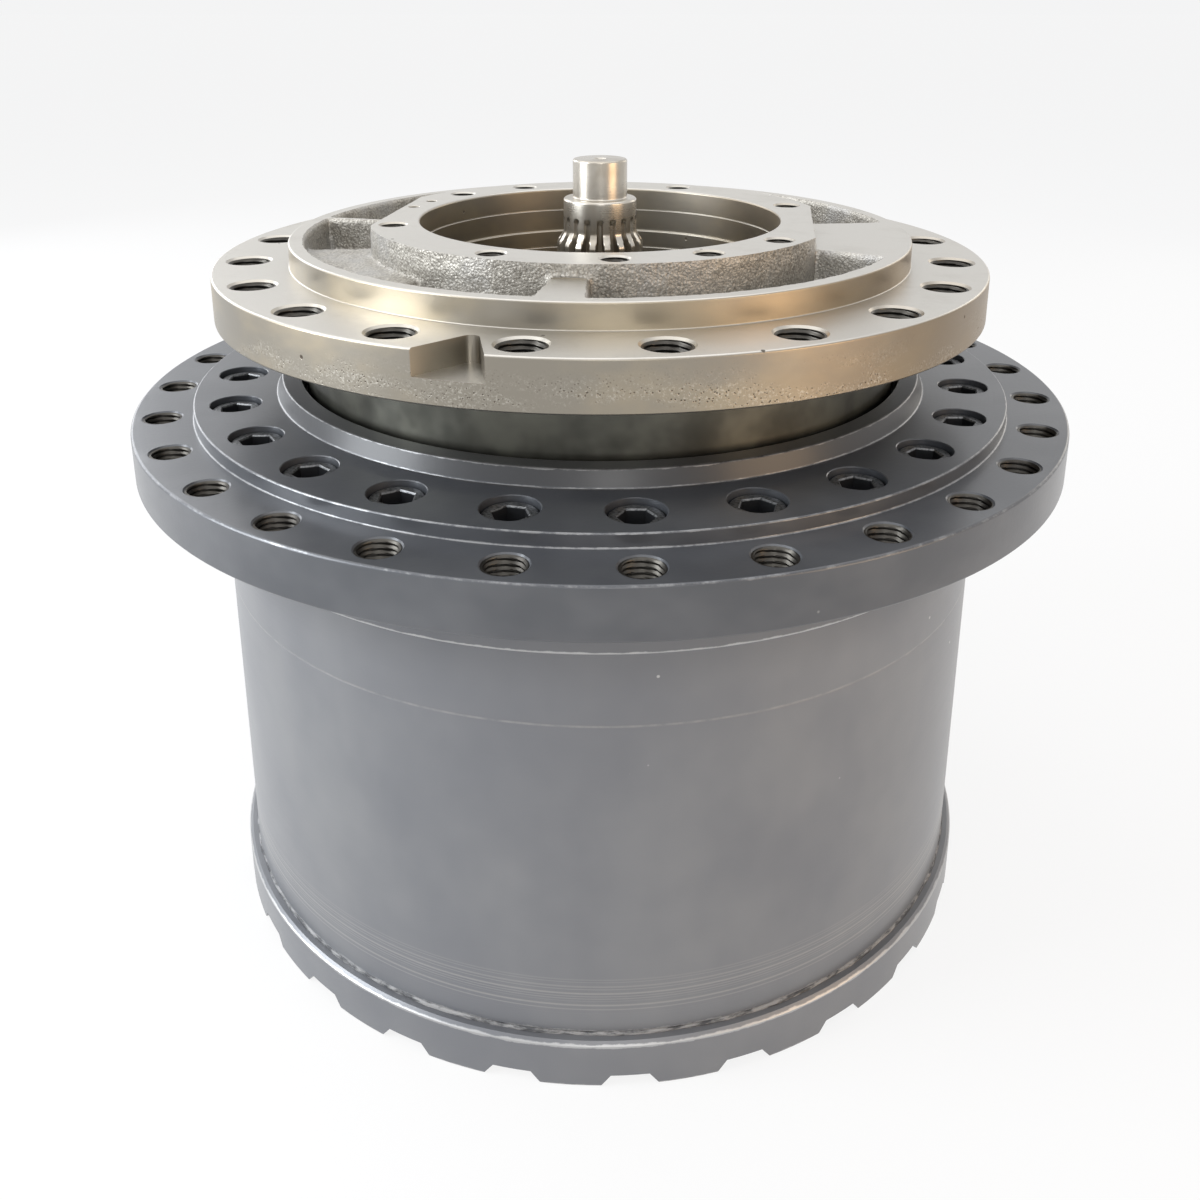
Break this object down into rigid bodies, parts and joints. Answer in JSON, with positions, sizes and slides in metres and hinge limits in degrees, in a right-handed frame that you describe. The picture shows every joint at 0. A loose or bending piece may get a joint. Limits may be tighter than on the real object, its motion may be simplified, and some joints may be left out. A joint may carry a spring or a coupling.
{
  "type": "excavator final drive",
  "caption": "Planetary travel final drive: drilled spindle with an open motor well, turning hub with a sprocket flange, ring gear drum and castellated end cover.",
  "frame": {"origin": "centre of the end cover's pads, on the surface that the drive stands on", "axes": "+Z along the drive's axis, from the end cover to the motor well; -Y is the front"},
  "size_m": [0.5, 0.5, 0.4024],
  "materials": {
    "machined_iron": "machined casting, bare",
    "slate_paint": "semi-gloss paint on a machined casting",
    "slate_paint_drum": "semi-gloss paint on a turned drum",
    "black_oxide": "black oxide",
    "ground_steel": "ground and oiled",
    "seal_steel": "lapped",
    "seal_rubber": "matt",
    "cage_brass": "machined"
  },
  "bodies": {
    "spindle_body": {"spindle": "machined_iron", "retaining_nut": "ground_steel", "output_carrier": "ground_steel", "output_pin_1": "ground_steel", "output_pin_2": "ground_steel", "output_pin_3": "ground_steel", "seal_ring_upper": "seal_steel", "seal_rubber_upper": "seal_rubber", "bearing_inner_lower": "ground_steel", "bearing_inner_upper": "ground_steel"},
    "hub_body": {"hub": "slate_paint", "ring_gear": "slate_paint_drum", "end_cover": "slate_paint_drum", "bearing_outer_lower": "ground_steel", "bearing_outer_upper": "ground_steel", "seal_ring_lower": "seal_steel", "seal_rubber_lower": "seal_rubber", "thrust_pad": "cage_brass", "drain_plug": "black_oxide", "level_plug": "black_oxide", "filler_plug": "black_oxide", "hub_screw_01": "black_oxide", "hub_screw_02": "black_oxide", "hub_screw_03": "black_oxide", "hub_screw_04": "black_oxide", "hub_screw_05": "black_oxide", "hub_screw_06": "black_oxide", "hub_screw_07": "black_oxide", "hub_screw_08": "black_oxide", "hub_screw_09": "black_oxide", "hub_screw_10": "black_oxide", "hub_screw_11": "black_oxide", "hub_screw_12": "black_oxide", "hub_screw_13": "black_oxide", "hub_screw_14": "black_oxide", "hub_screw_15": "black_oxide", "hub_screw_16": "black_oxide", "hub_screw_17": "black_oxide", "hub_screw_18": "black_oxide", "hub_screw_19": "black_oxide", "hub_screw_20": "black_oxide", "hub_screw_21": "black_oxide", "hub_screw_22": "black_oxide", "hub_screw_23": "black_oxide", "hub_screw_24": "black_oxide"},
    "ball_cage_lower_body": {"ball_cage_lower": "cage_brass"},
    "ball_cage_upper_body": {"ball_cage_upper": "cage_brass"},
    "output_planet_1_body": {"output_planet_1": "ground_steel"},
    "output_planet_2_body": {"output_planet_2": "ground_steel"},
    "output_planet_3_body": {"output_planet_3": "ground_steel"},
    "input_carrier_body": {"input_carrier": "ground_steel", "output_sun": "ground_steel", "input_pin_1": "ground_steel", "input_pin_2": "ground_steel", "input_pin_3": "ground_steel"},
    "input_planet_1_body": {"input_planet_1": "ground_steel"},
    "input_planet_2_body": {"input_planet_2": "ground_steel"},
    "input_planet_3_body": {"input_planet_3": "ground_steel"},
    "sun_shaft_body": {"sun_shaft": "ground_steel"}
  },
  "joints": [
    {"name": "hub_spin", "type": "hinge", "parent": "spindle_body", "child": "hub_body", "pos_m": [0, 0, 0.2], "axis": [0, 0, 1], "continuous": true},
    {"name": "ball_cage_lower_spin", "type": "hinge", "parent": "spindle_body", "child": "ball_cage_lower_body", "pos_m": [0, 0, 0.202], "axis": [0, 0, 1], "continuous": true},
    {"name": "ball_cage_upper_spin", "type": "hinge", "parent": "spindle_body", "child": "ball_cage_upper_body", "pos_m": [0, 0, 0.24], "axis": [0, 0, 1], "continuous": true},
    {"name": "output_planet_1_spin", "type": "hinge", "parent": "spindle_body", "child": "output_planet_1_body", "pos_m": [0, 0.105, 0.134], "axis": [0, 0, 1], "continuous": true},
    {"name": "output_planet_2_spin", "type": "hinge", "parent": "spindle_body", "child": "output_planet_2_body", "pos_m": [-0.09093, -0.0525, 0.134], "axis": [0, 0, 1], "continuous": true},
    {"name": "output_planet_3_spin", "type": "hinge", "parent": "spindle_body", "child": "output_planet_3_body", "pos_m": [0.09093, -0.0525, 0.134], "axis": [0, 0, 1], "continuous": true},
    {"name": "input_carrier_spin", "type": "hinge", "parent": "spindle_body", "child": "input_carrier_body", "pos_m": [0, 0, 0.085], "axis": [0, 0, 1], "continuous": true},
    {"name": "input_planet_1_spin", "type": "hinge", "parent": "input_carrier_body", "child": "input_planet_1_body", "pos_m": [0.09093, 0.0525, 0.055], "axis": [0, 0, 1], "continuous": true},
    {"name": "input_planet_2_spin", "type": "hinge", "parent": "input_carrier_body", "child": "input_planet_2_body", "pos_m": [-0.09093, 0.0525, 0.055], "axis": [0, 0, 1], "continuous": true},
    {"name": "input_planet_3_spin", "type": "hinge", "parent": "input_carrier_body", "child": "input_planet_3_body", "pos_m": [0, -0.105, 0.055], "axis": [0, 0, 1], "continuous": true},
    {"name": "sun_shaft_spin", "type": "hinge", "parent": "spindle_body", "child": "sun_shaft_body", "pos_m": [0, 0, 0.3], "axis": [0, 0, 1], "continuous": true}
  ],
  "couplings": [
    {"joint": "ball_cage_lower_spin", "follows": "hub_spin", "ratio": 0.56667},
    {"joint": "ball_cage_upper_spin", "follows": "hub_spin", "ratio": 0.56667},
    {"joint": "output_planet_1_spin", "follows": "hub_spin", "ratio": 2.6667},
    {"joint": "output_planet_2_spin", "follows": "hub_spin", "ratio": 2.6667},
    {"joint": "output_planet_3_spin", "follows": "hub_spin", "ratio": 2.6667},
    {"joint": "input_carrier_spin", "follows": "hub_spin", "ratio": -4},
    {"joint": "input_planet_1_spin", "follows": "hub_spin", "ratio": 13.333},
    {"joint": "input_planet_2_spin", "follows": "hub_spin", "ratio": 13.333},
    {"joint": "input_planet_3_spin", "follows": "hub_spin", "ratio": 13.333},
    {"joint": "sun_shaft_spin", "follows": "hub_spin", "ratio": -24}
  ]
}
